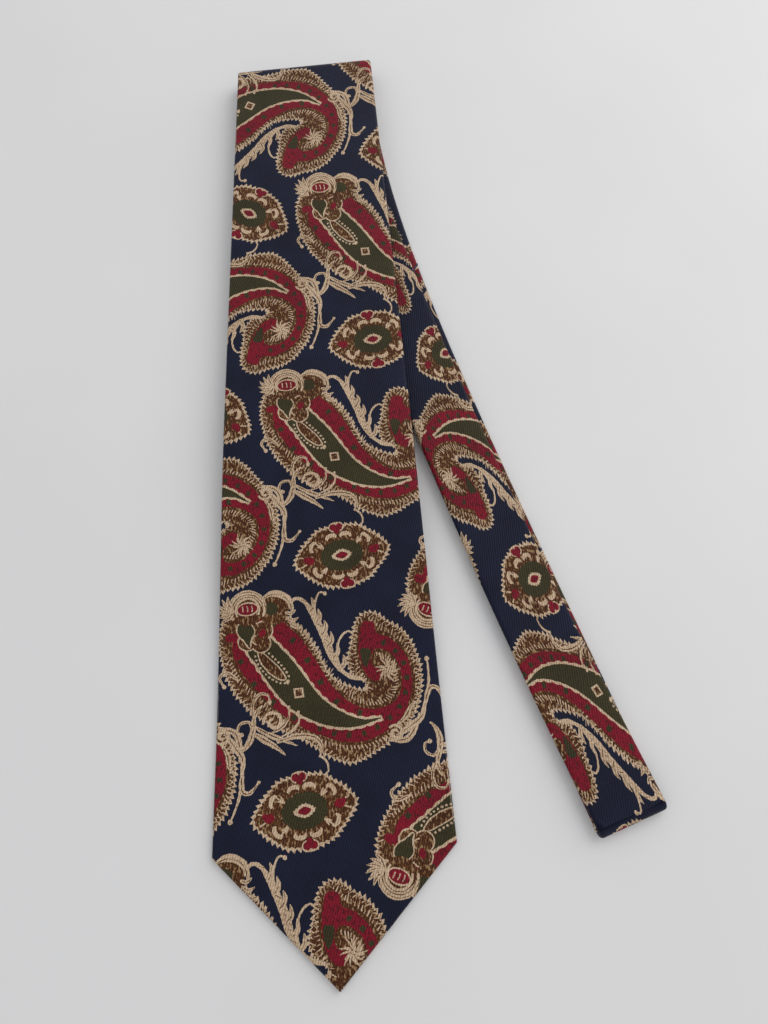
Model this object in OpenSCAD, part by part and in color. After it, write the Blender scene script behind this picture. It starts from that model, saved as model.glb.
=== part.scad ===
// Gentleman's necktie, folded in four as it lies on a shelf.
// The wide blade lies on top, face up. At the top fold it turns under and runs back as the rear run.
// At the neck fold the tie turns over again, and the narrow strip lies on the rear run, face up.
// The strip turns inside the top fold, and its tail end lies under the blade.
// X is across the blade, +Y from its point to the top fold, +Z up. Millimetres.

/* [Blade] */
// Width of the blade across the corners of its point
blade_w = 92; // [70:1:112]
// Length from the point to the outside of the top fold
blade_len = 444; // [370:1:535]
// Width of the blade where it turns over at the top fold
fold_w = 73; // [60:1:84]
// Tilt of the top fold from square across the blade, degrees
fold_tilt = 4.2; // [0:0.1:8]

/* [Rear run and strip] */
// Length of the rear run, from the top fold to the neck fold
rear_len = 412; // [350:1:495]
// Angle of the rear run from the blade, degrees
rear_angle = 16.2; // [12:0.1:20]
// Width of the tie at the neck fold
neck_w = 28.7; // [24:0.1:35]
// Tilt of the neck fold from square across the blade, degrees
neck_tilt = 18.5; // [14:0.1:24]
// Sideways bow of the rear run at its middle
rear_bow = 2.5; // [0:0.5:8]
// Sideways bow of the strip at its middle
strip_bow = 7.5; // [0:0.5:10]
// Width of the strip where it turns inside the top fold
strip_w = 30; // [25:0.5:36]
// Place of the strip in the top fold, to the right of the middle
strip_place = 5; // [0:0.5:8]

/* [Tail end] */
// Length of the tail end, from the top fold to its point
tail_len = 200; // [165:1:240]
// Width of the tail end across the corners of its point
tail_w = 38; // [32:0.5:46]
// Lean of the tail end to the left, degrees
tail_lean = 3; // [0:0.5:4]

/* [Cloth] */
// Thickness of one run: two silk layers and the interlining between them
run_t = 2.8; // [2.4:0.1:3.4]
// Thickness of the silk
silk_t = 0.45; // [0.35:0.05:0.55]
// Air between two runs that lie on each other
ply_gap = 0.3; // [0.25:0.05:0.4]
// Room between the interlining and the silk around it
lining_gap = 0.05; // [0.03:0.01:0.1]
// Thickness of the lining behind a point
tipping_t = 0.3; // [0.2:0.05:0.35]
// Width of the slit down the back, where the two flaps of silk meet
slit_w = 0.5; // [0.4:0.1:0.8]

/* [Back of the blade] */
// Distance from the blade's point to its bar tack, where the flaps meet
blade_tack_at = 130; // [110:1:155]
// Distance from the tail's point to its bar tack
tail_tack_at = 62; // [52:1:75]
// Width of the hem along a point
hem_w = 9; // [6:0.5:11]
// How far the tipping reaches past the bar tack
tipping_past = 18; // [10:1:30]
// Distance from the blade's point to the middle of the keeper loop
keeper_at = 216; // [200:1:225]
// Width of the keeper loop across the blade
keeper_w = 62; // [50:1:70]
// Depth of the keeper loop along the blade
keeper_d = 14; // [10:0.5:18]
// How far the keeper loop stands off the blade
keeper_rise = 2.6; // [1.5:0.1:3]
// Thickness of the keeper loop's cloth
keeper_t = 0.8; // [0.5:0.1:1]
// Distance from the blade's point to the middle of the blank label
label_at = 182; // [165:1:190]
// Width of the blank label
label_w = 52; // [40:1:60]
// Height of the blank label
label_h = 26; // [20:1:30]
// Thickness of the blank label
label_t = 0.3; // [0.2:0.05:0.4]

/* [Seams] */
// Distance from the top fold to the bias seam in the rear run
blade_join_at = 150; // [120:1:180]
// Distance from the neck fold to the bias seam in the strip
tail_join_at = 290; // [240:1:330]
// Width of a bias seam
join_w = 0.8; // [0.5:0.1:1.2]
// Distance between slip stitches down the back
stitch_pitch = 12; // [8:1:16]
// Length of one slip stitch
stitch_len = 4; // [2:0.5:6]

/* [Hidden] */
$fn = 96;

ply = run_t + ply_gap;            // from the underside of one run to the next
strip_z = ply;                    // undersides of the runs that lie on the rear run
tail_z = 2 * ply;
blade_z = 3 * ply;
short = -0.0002;                  // interlinings stop this share of a run short of the folds
top_r = (blade_z + run_t) / 2;    // outside of the top fold, and the height of its middle
tail_r = top_r - ply;             // outside of the fold inside it
neck_r = (strip_z + run_t) / 2;   // outside of the neck fold
fold_in = neck_r - run_t;         // inside of the two small folds

point_y = blade_w / 2;            // corners of the blade's right-angled point
fold_y = blade_len - top_r;       // middle of the top fold
top_mid = [0, fold_y];
run_down = [sin(rear_angle), -cos(rear_angle)];
neck_mid = top_mid + (rear_len - top_r - neck_r) * run_down;
strip_top = top_mid + strip_place * turned(fold_tilt);
tail_down = [-sin(tail_lean), -cos(tail_lean)];
tail_point = strip_top + tail_len * tail_down;

settle_from = fold_y - tail_len - 5;   // the blade comes down to the table past the tail end
settle_to = point_y + 28;

// the object's own box, which sets its place: origin under its middle
left_x = -blade_w / 2;
right_x = neck_mid[0] + neck_w / 2 * cos(neck_tilt) + neck_r * sin(neck_tilt);
far_y = fold_y + fold_w / 2 * sin(fold_tilt) + top_r * cos(fold_tilt);
middle = [(left_x + right_x) / 2, far_y / 2];

silk_blue = "midnightblue";
silk_red = "crimson";
thread = "navy";
wool = "ivory";

function turned(a) = [cos(a), sin(a)];
function mix(a, b, t) = a + (b - a) * t;
function ease(t) = let (u = min(1, max(0, t))) (1 - cos(180 * u)) / 2;

// half widths along each run, where t goes from 0 to 1
function blade_half(t) = mix(fold_w, blade_w, t) / 2;
function rear_half(t) = mix(neck_w, fold_w, pow(1 - t, 5)) / 2;
function strip_half(t) = mix(strip_w, neck_w, t) / 2;
function tail_half(t) = mix(strip_w, tail_w, t) / 2;

// steps along a run from 0 to 1, reaching past both ends, or stopping short of them where past is negative
function steps(past) = concat(past > 0 ? [-past] : [],
  [for (i = [0 : 12]) min(max(i / 12, -past), 1 + past)], past > 0 ? [1 + past] : []);
// outline of a run between two folds: middle line from a to b, bowed sideways, sections turning from tilt_a to tilt_b
function run_side(a, b, bow, tilt_a, tilt_b, half, side, past) = [
  for (t = steps(past))
    mix(a, b, t) - bow * 4 * t * (1 - t) * turned(rear_angle) + side * half(t) * turned(mix(tilt_a, tilt_b, t))
];
function outline(left, right) = concat(left, [for (i = [len(right) - 1 : -1 : 0]) right[i]]);
function rear_outline(inset, past = 0) =
  let (half = function (t) rear_half(min(1, max(0, t))) - inset)
  outline(run_side(top_mid, neck_mid, rear_bow, fold_tilt, neck_tilt, half, -1, past),
          run_side(top_mid, neck_mid, rear_bow, fold_tilt, neck_tilt, half, 1, past));
function strip_outline(inset, past = 0) =
  let (half = function (t) strip_half(t) - inset)
  outline(run_side(strip_top, neck_mid, strip_bow, fold_tilt, neck_tilt, half, -1, past),
          run_side(strip_top, neck_mid, strip_bow, fold_tilt, neck_tilt, half, 1, past));

// outline of a run that ends in a right-angled point: from the fold at t = 0 to the corners at t = 1
function pointed_side(a, tip, corner, half, side, inset, past) = let (
    down = (tip - a) / norm(tip - a), c = tip - corner * down + inset * (1 - sqrt(2)) * down)
  [for (t = steps(past)) if (t <= 1)
    mix(a, c, t) + side * (half(t) - inset) * turned(mix(fold_tilt, atan2(down[0], -down[1]), ease(t * 2)))];
function pointed_outline(a, tip, corner, half, inset, past) =
  let (down = (tip - a) / norm(tip - a))
  outline(concat(pointed_side(a, tip, corner, half, -1, inset, past), [tip - inset * sqrt(2) * down]),
          pointed_side(a, tip, corner, half, 1, inset, past));
function blade_outline(inset, past = 0) =
  pointed_outline(top_mid, [0, 0], point_y, function (t) blade_half(max(0, t)), inset, past);
function tail_outline(inset, past = 0) =
  pointed_outline(strip_top, tail_point, tail_w / 2, function (t) tail_half(max(0, t)), inset, past);

// height of the blade's underside at y: level on the other runs, then down to the table
function base_z(y) = blade_z * ease((y - settle_to) / (settle_from - settle_to));
function base_slope(y) = atan2(base_z(y + 1) - base_z(y - 1), 2);

// a layer of the blade, from low to high above its underside
module blade_band(low, high) {
  ys = [for (i = [-2 : 42]) mix(settle_to, settle_from, i / 40)];
  line = concat([-10], ys, [blade_len + 20]);
  rotate([90, 0, 90]) linear_extrude(2 * blade_w, center = true)
    polygon(concat([for (y = line) [y, base_z(y) + low]],
                   [for (i = [len(line) - 1 : -1 : 0]) [line[i], base_z(line[i]) + high]]));
}
module blade_layer(low, high) {
  intersection() {
    blade_band(low, high);
    translate([0, 0, -5]) linear_extrude(blade_z + run_t + 10) children();
  }
}
// a level layer of another run, from low to high
module level_layer(low, high) { translate([0, 0, low]) linear_extrude(high - low) children(); }
// half a roll around a fold line: mid is the middle of the line, facing is 0 outward to +Y, 180 to -Y
module roll(mid, z, tilt, facing, r_in, r_out, half) {
  translate([mid[0], mid[1], z]) rotate([0, 0, tilt + facing]) rotate([0, 90, 0])
    rotate_extrude(angle = 180) translate([r_in, -half]) square([r_out - r_in, 2 * half]);
}
module roll_shell(mid, z, tilt, facing, r_in, r_out, half) {
  difference() {
    roll(mid, z, tilt, facing, r_in, r_out, half);
    translate([mid[0], mid[1], z]) rotate([0, 0, tilt + facing]) rotate([0, 90, 0])
      rotate([0, 0, -5]) rotate_extrude(angle = 190)
        translate([r_in + silk_t, silk_t - half]) square([r_out - r_in - 2 * silk_t, 2 * (half - silk_t)]);
  }
}
module roll_interlining(mid, z, tilt, facing, r_in, r_out, half) {
  inset = silk_t + lining_gap;
  roll(mid, z, tilt, facing, r_in + inset, r_out - inset, half - inset);
}

// the slit between the two flaps, as a thin line along a run's middle, and the stitches in it
module slit_line(a, b, bow) {
  n = 24;
  at = function (t) mix(a, b, t) - bow * 4 * t * (1 - t) * turned(rear_angle);
  side = slit_w / 2 * [cos(atan2(b[0] - a[0], a[1] - b[1])), sin(atan2(b[0] - a[0], a[1] - b[1]))];
  polygon(concat([for (i = [-1 : n + 1]) at(i / n) - side], [for (i = [n + 1 : -1 : -1]) at(i / n) + side]));
}
module stitch_windows(a, b) {
  long = norm(b - a);
  for (s = [stitch_pitch : stitch_pitch : long - stitch_pitch])
    translate(mix(a, b, s / long)) rotate(atan2(b[1] - a[1], b[0] - a[0]))
      square([stitch_len, 30], center = true);
}
module stitches(a, b, bow) { intersection() { slit_line(a, b, bow); stitch_windows(a, b); } }

// the kite-shaped opening between the flaps behind a point, at the origin with its point down
module flap_opening(half, tack_at) {
  polygon([[0, hem_w * sqrt(2)], [half - hem_w, half + hem_w * 0.4], [0, tack_at],
           [hem_w - half, half + hem_w * 0.4]]);
}
module at_tail_point() { translate(tail_point) rotate(-tail_lean) children(); }
module tack(at) { translate([0, at]) square([7, 2], center = true); }

// a bias seam across a run: everything before it, in it, or after it along the direction down
module bias_part(at, down, part) {
  far = 700;
  turn = atan2(down[1], down[0]) + 45;
  translate(at) rotate(turn) translate(part == "before" ? [-far, -far / 2] : part == "seam" ? [0, -far / 2]
    : [join_w, -far / 2]) square([part == "seam" ? join_w : far, far]);
}
blade_join = top_mid + blade_join_at * run_down;
tail_join = neck_mid - tail_join_at * run_down;

// ---- the blade, which opens at the top fold ----
module blade_shell() {
  color(silk_blue) difference() {
    blade_layer(0, run_t) polygon(blade_outline(0));
    blade_layer(silk_t, run_t - silk_t) polygon(blade_outline(silk_t, 0.02));
    blade_layer(-1, silk_t + 0.01) flap_opening(blade_w / 2, blade_tack_at);
    blade_layer(-1, silk_t + 0.01) slit_line([0, fold_y], [0, blade_tack_at], 0);
  }
}
module blade_interlining() {
  color(wool) blade_layer(silk_t + tipping_t + lining_gap, run_t - silk_t - lining_gap)
    polygon(blade_outline(silk_t + lining_gap, short));
}
module blade_tipping() {
  color(silk_red) blade_layer(silk_t + lining_gap / 2, silk_t + tipping_t) intersection() {
    polygon(blade_outline(silk_t + lining_gap));
    translate([-blade_w, 0]) square([2 * blade_w, blade_tack_at + tipping_past]);
  }
}
module blade_bar_tack() {
  color(thread) blade_layer(-0.35, 0) tack(blade_tack_at + 3);
}
module blade_slip_stitch() {
  color(thread) blade_layer(lining_gap, silk_t) stitches([0, fold_y], [0, blade_tack_at + 4], 0);
}
// the keeper loop is an arch of cloth across the back of the blade, open for the tail end to pass
function arch(x, half, rise) = -rise * (1 - pow(x / half, 4));
module keeper_frame() {
  translate([0, keeper_at, base_z(keeper_at) - 0.1]) rotate([base_slope(keeper_at), 0, 0]) children();
}
module keeper_loop() {
  half = keeper_w / 2;
  inner = half - 3;
  color(silk_blue) keeper_frame() rotate([90, 0, 0]) linear_extrude(keeper_d, center = true) polygon(concat(
    [for (i = [-12 : 12]) let (x = half * i / 12) [x, arch(x, half, keeper_rise) - keeper_t]],
    [[half, 0], [inner, 0]],
    [for (i = [11 : -1 : -11]) let (x = inner * i / 12) [x, arch(x, inner, keeper_rise)]],
    [[-inner, 0], [-half, 0]]));
}
module keeper_stitches() {
  color(thread) keeper_frame() for (side = [-1, 1], k = [-2 : 2])
    translate([side * (keeper_w / 2 + 0.3), k * keeper_d / 6, -0.3]) cube([0.6, 1.2, 0.6], center = true);
}
module blank_label() {
  color("silver") blade_layer(-label_t - 0.05, -0.05) translate([0, label_at]) square([label_w, label_h], center = true);
}
module label_stitches() {
  color(thread) blade_layer(-label_t - 0.25, -label_t - 0.05) for (side = [-1, 1], k = [-4 : 4])
    translate([side * (label_w / 2 - 1), label_at + k * label_h / 10]) square([0.5, 1.6], center = true);
}

// ---- the top fold ----
module top_fold_shell() {
  color(silk_blue) roll_shell(top_mid, top_r, fold_tilt, 0, top_r - run_t, top_r, fold_w / 2);
}
module top_fold_interlining() {
  color(wool) roll_interlining(top_mid, top_r, fold_tilt, 0, top_r - run_t, top_r, fold_w / 2);
}

// ---- the rear run, its reverse up ----
module rear_sleeve() {
  difference() {
    level_layer(0, run_t) polygon(rear_outline(0));
    level_layer(silk_t, run_t - silk_t) polygon(rear_outline(silk_t, 0.01));
    level_layer(run_t - silk_t - 0.01, run_t + 1) slit_line(top_mid, neck_mid, rear_bow);
  }
}
module rear_part(part) {
  intersection() {
    rear_sleeve();
    level_layer(-1, run_t + 1) bias_part(blade_join, run_down, part);
  }
}
module rear_shell() { color(silk_blue) rear_part("before"); }
module blade_join_seam() { color(thread) rear_part("seam"); }
module rear_neck_shell() { color(silk_blue) rear_part("after"); }
module rear_interlining() {
  inset = silk_t + lining_gap;
  color(wool) level_layer(inset, run_t - inset) polygon(rear_outline(inset, short));
}
module rear_slip_stitch() {
  color(thread) level_layer(run_t - silk_t, run_t - lining_gap) difference() {
    stitches(top_mid, neck_mid, rear_bow);
    translate(blade_join) square(8, center = true);
  }
}

// ---- the neck fold ----
module neck_fold_shell() {
  color(silk_blue) roll_shell(neck_mid, neck_r, neck_tilt, 180, fold_in, neck_r, neck_w / 2);
}
module neck_fold_interlining() {
  color(wool) roll_interlining(neck_mid, neck_r, neck_tilt, 180, fold_in, neck_r, neck_w / 2);
}

// ---- the strip, its face up ----
module strip_sleeve() {
  difference() {
    level_layer(strip_z, strip_z + run_t) polygon(strip_outline(0));
    level_layer(strip_z + silk_t, strip_z + run_t - silk_t) polygon(strip_outline(silk_t, 0.01));
    level_layer(strip_z - 1, strip_z + silk_t + 0.01) slit_line(strip_top, neck_mid, strip_bow);
  }
}
module strip_part(part) {
  intersection() {
    strip_sleeve();
    level_layer(strip_z - 1, strip_z + run_t + 1) bias_part(tail_join, run_down, part);
  }
}
module strip_neck_shell() { color(silk_blue) strip_part("after"); }
module tail_join_seam() { color(thread) strip_part("seam"); }
module strip_tail_shell() { color(silk_blue) strip_part("before"); }
module strip_interlining() {
  inset = silk_t + lining_gap;
  color(wool) level_layer(strip_z + inset, strip_z + run_t - inset) polygon(strip_outline(inset, short));
}
module strip_slip_stitch() {
  color(thread) level_layer(strip_z + lining_gap, strip_z + silk_t) difference() {
    stitches(strip_top, neck_mid, strip_bow);
    translate(tail_join) square(8, center = true);
  }
}

// ---- the fold of the strip inside the top fold ----
module tail_fold_shell() {
  color(silk_blue) roll_shell(strip_top, top_r, fold_tilt, 0, fold_in, tail_r, strip_w / 2);
}
module tail_fold_interlining() {
  color(wool) roll_interlining(strip_top, top_r, fold_tilt, 0, fold_in, tail_r, strip_w / 2);
}

// ---- the tail end, its reverse up ----
module tail_shell() {
  top = tail_z + run_t;
  color(silk_blue) difference() {
    level_layer(tail_z, top) polygon(tail_outline(0));
    level_layer(tail_z + silk_t, top - silk_t) polygon(tail_outline(silk_t, 0.02));
    level_layer(top - silk_t - 0.01, top + 1) at_tail_point() flap_opening(tail_w / 2, tail_tack_at);
    level_layer(top - silk_t - 0.01, top + 1)
      slit_line(strip_top, tail_point - tail_tack_at * tail_down, 0);
  }
}
module tail_interlining() {
  inset = silk_t + lining_gap;
  color(wool) level_layer(tail_z + inset, tail_z + run_t - silk_t - tipping_t - lining_gap)
    polygon(tail_outline(inset, short));
}
module tail_tipping() {
  top = tail_z + run_t - silk_t;
  color(silk_red) level_layer(top - tipping_t, top - lining_gap / 2) intersection() {
    polygon(tail_outline(silk_t + lining_gap));
    at_tail_point() translate([-tail_w, 0]) square([2 * tail_w, tail_tack_at + tipping_past]);
  }
}
module tail_bar_tack() {
  top = tail_z + run_t;
  color(thread) level_layer(top, top + 0.15) at_tail_point() tack(tail_tack_at + 3);
}
module tail_slip_stitch() {
  top = tail_z + run_t;
  color(thread) level_layer(top - silk_t, top - lining_gap)
    stitches(strip_top, tail_point - (tail_tack_at + 4) * tail_down, 0);
}

translate([-middle[0], -middle[1], 0]) {
  blade_shell();
  blade_interlining();
  blade_tipping();
  blade_bar_tack();
  blade_slip_stitch();
  keeper_loop();
  keeper_stitches();
  blank_label();
  label_stitches();
  top_fold_shell();
  top_fold_interlining();
  rear_shell();
  blade_join_seam();
  rear_neck_shell();
  rear_interlining();
  rear_slip_stitch();
  neck_fold_shell();
  neck_fold_interlining();
  strip_neck_shell();
  tail_join_seam();
  strip_tail_shell();
  strip_interlining();
  strip_slip_stitch();
  tail_fold_shell();
  tail_fold_interlining();
  tail_shell();
  tail_interlining();
  tail_tipping();
  tail_bar_tack();
  tail_slip_stitch();
}
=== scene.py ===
"""Gentleman's printed silk necktie, folded in four and laid on a pale table.

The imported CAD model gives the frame. Every run of the tie is rebuilt here as real cloth: a flat plan,
cut along the printed shapes, is laid over the run's face, round its soft edges and onto its two back flaps.
Plan sizes are in millimetres in the blade's own frame: the blade's point at (0, 0), the top fold at +Y.
"""

import math

import bpy
import numpy as np
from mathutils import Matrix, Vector
from mathutils.geometry import delaunay_2d_cdt


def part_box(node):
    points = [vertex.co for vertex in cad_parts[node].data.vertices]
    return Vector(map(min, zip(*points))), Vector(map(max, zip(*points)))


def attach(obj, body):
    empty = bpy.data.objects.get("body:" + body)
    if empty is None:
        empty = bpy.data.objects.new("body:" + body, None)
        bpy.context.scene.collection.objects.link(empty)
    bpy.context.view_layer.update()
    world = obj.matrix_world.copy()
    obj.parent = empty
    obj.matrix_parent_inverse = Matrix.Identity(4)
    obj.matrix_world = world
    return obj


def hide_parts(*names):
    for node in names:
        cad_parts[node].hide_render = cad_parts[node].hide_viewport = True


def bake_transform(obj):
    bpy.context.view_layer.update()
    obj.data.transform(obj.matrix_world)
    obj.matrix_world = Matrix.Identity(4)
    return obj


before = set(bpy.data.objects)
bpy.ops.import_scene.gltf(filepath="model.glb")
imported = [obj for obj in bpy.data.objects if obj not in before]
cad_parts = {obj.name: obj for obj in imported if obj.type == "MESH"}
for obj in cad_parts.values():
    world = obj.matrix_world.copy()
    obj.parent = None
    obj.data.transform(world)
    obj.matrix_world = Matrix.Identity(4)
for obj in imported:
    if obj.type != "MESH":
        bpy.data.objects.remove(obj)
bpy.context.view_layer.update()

# ---- driving dimensions, as in the CAD model, in millimetres and degrees ----
BLADE_W = 92
BLADE_LEN = 444
FOLD_W = 73
FOLD_TILT = 4.2
REAR_LEN = 412
REAR_ANGLE = 16.2
NECK_W = 28.7
NECK_TILT = 18.5
REAR_BOW = 2.5
STRIP_BOW = 7.5
STRIP_W = 30
STRIP_PLACE = 5
TAIL_LEN = 200
TAIL_W = 38
TAIL_LEAN = 3
RUN_T = 2.8
PLY_GAP = 0.3
SILK_T = 0.45
SLIT_W = 0.5
BLADE_TACK_AT = 130
TAIL_TACK_AT = 62
HEM_W = 9
TIPPING_PAST = 18
BLADE_JOIN_AT = 150
TAIL_JOIN_AT = 290
JOIN_W = 0.8
KEEPER_AT = 216
KEEPER_W = 62
KEEPER_D = 14
KEEPER_RISE = 2.6
KEEPER_T = 0.8
LABEL_AT = 182
LABEL_W = 52
LABEL_H = 26

PLY = RUN_T + PLY_GAP
EDGE_R = RUN_T / 2                      # a run's edges are half round
STRIP_Z, TAIL_Z, BLADE_Z = PLY, 2 * PLY, 3 * PLY
TOP_R = (BLADE_Z + RUN_T) / 2
TAIL_R = TOP_R - PLY
NECK_R = (STRIP_Z + RUN_T) / 2
POINT_Y = BLADE_W / 2
FOLD_Y = BLADE_LEN - TOP_R
SETTLE_FROM = FOLD_Y - TAIL_LEN - 5
SETTLE_TO = POINT_Y + 28

blade_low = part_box("blade_shell")[0]    # the blade's point gives the frame's place
ORIGIN = np.array([-BLADE_W / 2 - blade_low[0] * 1000, -blade_low[1] * 1000, 0.0])


def turned(degrees):
    a = math.radians(degrees)
    return np.array([math.cos(a), math.sin(a)])


def mix(a, b, t):
    return a + (b - a) * t


def ease(t):
    return (1 - np.cos(np.pi * np.clip(t, 0, 1))) / 2


def looped(line):
    """A line with its first point again at its end."""
    return np.vstack([line, line[:1]])


TOP_MID = np.array([0.0, FOLD_Y])
FOLD_U = turned(FOLD_TILT)
FOLD_N = turned(FOLD_TILT + 90)
NECK_U = turned(NECK_TILT)
NECK_N = turned(NECK_TILT - 90)
RUN_DOWN = turned(REAR_ANGLE - 90)
BOW_WAY = turned(REAR_ANGLE)
NECK_MID = TOP_MID + (REAR_LEN - TOP_R - NECK_R) * RUN_DOWN
STRIP_TOP = TOP_MID + STRIP_PLACE * FOLD_U
TAIL_DOWN = turned(-90 - TAIL_LEAN)
TAIL_POINT = STRIP_TOP + TAIL_LEN * TAIL_DOWN
BLADE_JOIN = TOP_MID + BLADE_JOIN_AT * RUN_DOWN
TAIL_JOIN = NECK_MID - TAIL_JOIN_AT * RUN_DOWN


def blade_half(t):
    return mix(FOLD_W, BLADE_W, np.clip(t, 0, 1)) / 2


def rear_half(t):
    return mix(NECK_W, FOLD_W, (1 - np.clip(t, 0, 1)) ** 5) / 2


def strip_half(t):
    return mix(STRIP_W, NECK_W, t) / 2


def tail_half(t):
    return mix(STRIP_W, TAIL_W, np.clip(t, 0, 1)) / 2


def base_z(y):
    """Height of the blade's underside: level over the other runs, then down to the table."""
    return BLADE_Z * ease((y - SETTLE_TO) / (SETTLE_FROM - SETTLE_TO))


# ---- flat shapes ----
def smooth(points, closed=False, step=0.9):
    """A smooth line through given points, with a point about every step."""
    p = np.array(points, float)
    n = len(p)
    parts = []
    for i in range(n if closed else n - 1):
        if closed:
            a, b, c, d = (p[(i + k) % n] for k in (-1, 0, 1, 2))
        else:
            a, b, c, d = (p[min(max(i + k, 0), n - 1)] for k in (-1, 0, 1, 2))
        m = max(2, round(float(np.linalg.norm(c - b)) / step))
        t = (np.arange(m) / m)[:, None]
        bend = (2 * a - 5 * b + 4 * c - d) * t**2 + (3 * b - a - 3 * c + d) * t**3
        parts.append((2 * b + (c - a) * t + bend) / 2)
    if not closed:
        parts.append(p[-1:])
    return np.concatenate(parts)


def along(line, step, closed=False):
    """Points every step along a line, and the line's direction at each."""
    p = looped(line) if closed else np.asarray(line)
    far = np.concatenate([[0], np.cumsum(np.linalg.norm(np.diff(p, axis=0), axis=1))])
    n = max(2, 2 * round(far[-1] / step / 2))
    at = np.linspace(0, far[-1], n, endpoint=not closed)

    def point(s):
        s = s % far[-1] if closed else np.clip(s, 0, far[-1])
        return np.stack([np.interp(s, far, p[:, k]) for k in (0, 1)], 1)

    d = point(at + 0.3) - point(at - 0.3)
    return point(at), d / np.maximum(np.linalg.norm(d, axis=1), 1e-9)[:, None]


def left_of(d):
    return np.stack([-d[:, 1], d[:, 0]], 1)


def outward(line):
    """Unit normals that point out of a closed line."""
    d = np.roll(line, -1, 0) - np.roll(line, 1, 0)
    d /= np.maximum(np.linalg.norm(d, axis=1), 1e-9)[:, None]
    x, y = line[:, 0], line[:, 1]
    turning = float((x * np.roll(y, -1) - np.roll(x, -1) * y).sum())
    return -left_of(d) * (1 if turning > 0 else -1)


def grown(line, by):
    return line + outward(line) * np.reshape(by, (-1, 1))


def teeth(line, pitch, high):
    """A closed line with a saw-tooth edge of leaning, slightly uneven teeth."""
    p, d = along(line, pitch / 2, True)
    odd = np.arange(len(p)) % 2 == 0
    uneven = 1 + 0.35 * np.sin(np.arange(len(p)) * 2.4)
    q = grown(p, np.where(odd, high * uneven, -high * 0.7))
    return q + d * np.where(odd, pitch * 0.28, 0)[:, None]


def scalloped(line, by, high, pitch):
    p, _ = along(line, 0.8, True)
    waves = max(3, round(len(p) * 0.8 / pitch))
    return grown(p, by + high * np.abs(np.sin(np.pi * waves * np.arange(len(p)) / len(p))))


def ribbon(line, *wide):
    """A band along a line, whose width runs through the values of wide."""
    d = np.gradient(line, axis=0)
    d /= np.maximum(np.linalg.norm(d, axis=1), 1e-9)[:, None]
    share = np.linspace(0, 1, len(line))
    half = np.interp(share, np.linspace(0, 1, len(wide)), wide) / 2 if len(wide) > 1 else wide[0] / 2
    side = left_of(d) * np.reshape(half, (-1, 1))
    return np.vstack([line + side, (line - side)[::-1]])


def disc(at, r, ry=None, turn=0.0, n=14):
    a = np.arange(n) * 2 * np.pi / n
    x, y = r * np.cos(a), (ry or r) * np.sin(a)
    c, s = turned(turn)
    return np.stack([at[0] + x * c - y * s, at[1] + x * s + y * c], 1)


def dashes(line, side, start, long, wide, pitch, lean=0.35):
    """Short tapered strokes standing off a line, on its left for side 1."""
    p, d = along(line, pitch)
    out = left_of(d) * side
    shapes = []
    for i, (at, way, off) in enumerate(zip(p, d, out)):
        reach = long * (0.8 + 0.3 * math.sin(i * 1.9))
        foot = at + off * start
        tip = at + off * (start + reach) + way * reach * lean
        shapes.append(np.array([foot - way * wide / 2, foot + way * wide / 2, tip + way * wide * 0.3,
                                tip - way * wide * 0.3]))
    return shapes


def curl(at, r, first, turns, shrink=0.75):
    """A spiral line, from the outside in."""
    t = np.linspace(0, 1, max(10, int(abs(turns) * 22)))
    a = np.radians(first) + turns * 2 * np.pi * t
    rr = r * (1 - shrink * t)
    return np.stack([at[0] + rr * np.cos(a), at[1] + rr * np.sin(a)], 1)


# ---- the print ----
NAVY, CRIMSON, OLIVE, BROWN, SAND = range(5)
RAGGED = 0.13           # how far a printed edge wanders


class Drawing:
    """Printed shapes in the order that they are laid down."""

    def __init__(self):
        self.shapes = []
        self.chance = np.random.default_rng(11)

    def add(self, colour, *shapes):
        """Each shape's edge wanders a little, as ink does along the threads."""
        for shape in shapes:
            shape = np.asarray(shape, float)
            self.shapes.append((colour, shape + self.chance.uniform(-RAGGED, RAGGED, shape.shape)))

    def edged(self, colour, shape, edge):
        self.add(SAND, grown(shape, edge))
        self.add(colour, shape)

    def scroll(self, points, *wide, vein=True, knob=0.0):
        """A sand-coloured scroll with a thin brown vein, and a knob on its far end."""
        line = smooth(points, step=0.8)
        self.add(SAND, ribbon(line, *[0.88 * w for w in wide]))
        if vein and max(wide) > 1.3:
            inner = line[2:-2]
            self.add(BROWN, ribbon(inner + left_of(np.gradient(inner, axis=0)) * 0.15, 0.25, 0.4, 0.2))
        if knob:
            self.add(SAND, disc(points[-1], knob, n=10))

    def leaf(self, root, tip, wide, bend):
        root, tip = np.array(root, float), np.array(tip, float)
        way = tip - root
        across = np.array([-way[1], way[0]])
        line = smooth([root, mix(root, tip, 0.5) + across * bend, tip], step=0.8)
        self.add(SAND, ribbon(line, wide * 0.35, wide, wide * 0.8, 0.15))
        self.add(BROWN, ribbon(line[1:-1], 0.3, 0.15))


def squares(drawing, points, pitch, size):
    """Small olive blocks along a smooth line."""
    p, d = along(smooth(points), pitch)
    for at, way in zip(p, d):
        off = np.array([-way[1], way[0]])
        a, b = way * size / 2, off * size * 0.6
        drawing.add(OLIVE, np.array([at - a - b, at + a - b, at + a + b, at - a + b]))


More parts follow.
